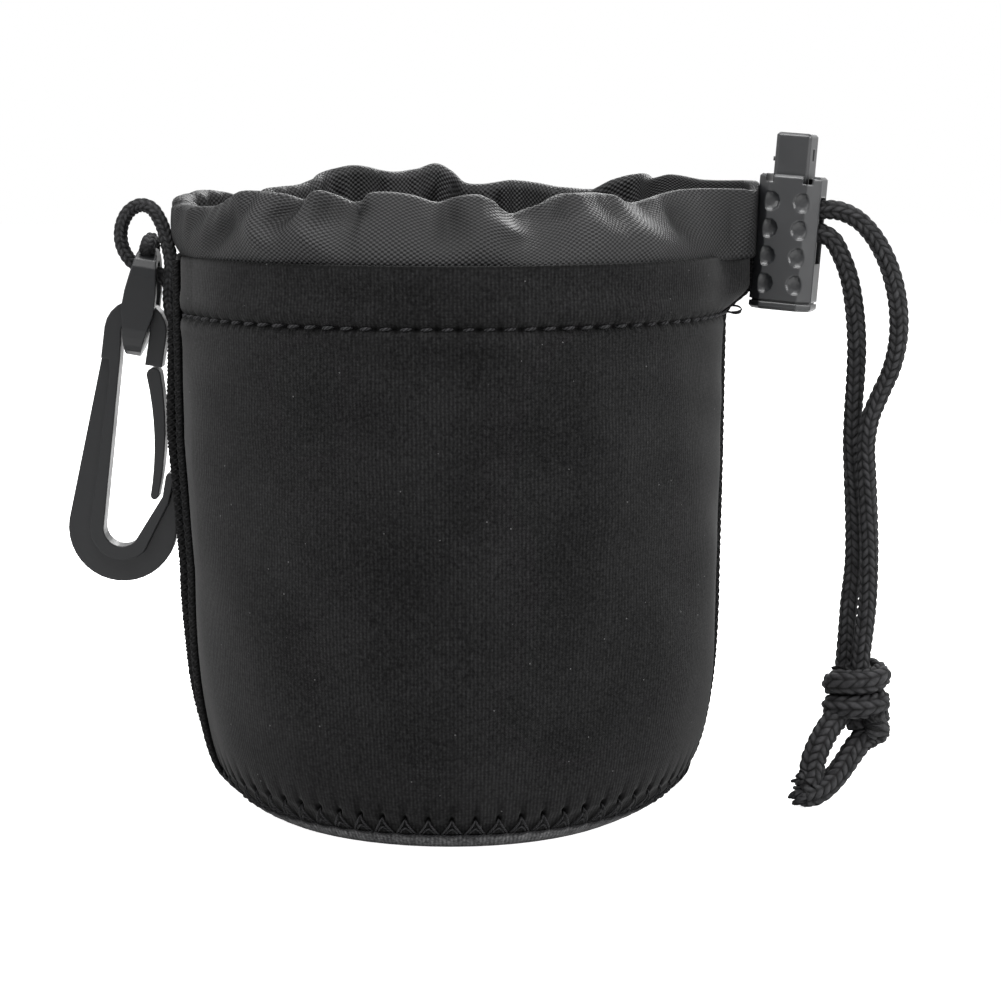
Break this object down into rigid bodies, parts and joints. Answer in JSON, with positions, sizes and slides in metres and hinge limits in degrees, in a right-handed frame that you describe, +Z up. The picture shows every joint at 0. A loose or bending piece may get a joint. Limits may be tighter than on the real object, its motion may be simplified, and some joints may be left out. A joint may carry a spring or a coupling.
{
  "type": "lens pouch",
  "caption": "Soft neoprene drawstring pouch for a camera lens, with gathered nylon collar, sprung cord lock, belt loop and a snap hook on a short cord loop.",
  "frame": {"origin": "centre of the flat underside of the base, on the surface the pouch stands on", "axes": "+Z up out of the mouth; +X towards the cord lock, with the belt loop and hook on the -X side; -Y is the front seen in the picture"},
  "size_m": [0.1584, 0.101, 0.1261],
  "materials": {
    "neoprene": "black knit-faced neoprene, matte with a fine ribbed texture",
    "nylon": "dark grey oxford-weave nylon, slightly lustrous",
    "thread": "black overlock thread",
    "cord_braid": "black braided round cord",
    "plastic": "moulded black plastic, satin",
    "spring_steel": "bright spring wire"
  },
  "bodies": {
    "pouch": {"front_panel": "neoprene", "back_panel": "neoprene", "base_panel": "neoprene", "left_seam_ridge": "thread", "right_seam_ridge": "thread", "base_seam_band": "thread", "collar": "nylon", "drawcord_channel_run": "cord_braid", "belt_loop": "neoprene", "belt_loop_near_edge": "thread", "belt_loop_far_edge": "thread", "hook_cord_loop": "cord_braid"},
    "drawcord": {"drawcord_upper_leg": "cord_braid", "drawcord_lower_leg": "cord_braid", "drawcord_knot": "cord_braid", "drawcord_front_tail": "cord_braid", "drawcord_rear_tail": "cord_braid", "lock_barrel": "plastic", "lock_spring": "spring_steel"},
    "plunger": {"lock_plunger": "plastic"},
    "link": {"hook_link": "plastic", "hook_cord_hitch": "cord_braid"},
    "hook": {"hook_body": "plastic"},
    "gate": {"hook_gate": "plastic"}
  },
  "joints": [
    {"name": "drawcord_pull", "type": "slide", "parent": "pouch", "child": "drawcord", "axis": [0.9511, -0.309, 0], "range_m": [0, 0.01]},
    {"name": "plunger_press", "type": "slide", "parent": "drawcord", "child": "plunger", "axis": [-0.0785, 0, -0.9969], "range_m": [0, 0.0037], "stiffness_N_per_m": 600, "springref_m": -0.003, "deforming": ["lock_spring"]},
    {"name": "link_swing", "type": "hinge", "parent": "pouch", "child": "link", "pos_m": [-0.05799, 0.0016, 0.1002], "axis": [0.9863, 0, -0.165], "range_deg": [-30, 30]},
    {"name": "hook_swing", "type": "hinge", "parent": "link", "child": "hook", "pos_m": [-0.06022, 0.0016, 0.08871], "axis": [0, 1, 0], "range_deg": [0, 14]},
    {"name": "gate_press", "type": "hinge", "parent": "hook", "child": "gate", "pos_m": [-0.05698, 0.0016, 0.08051], "axis": [0, 1, 0], "range_deg": [0, 16], "stiffness_Nm_per_rad": 0.02, "springref_deg": -5.73}
  ]
}
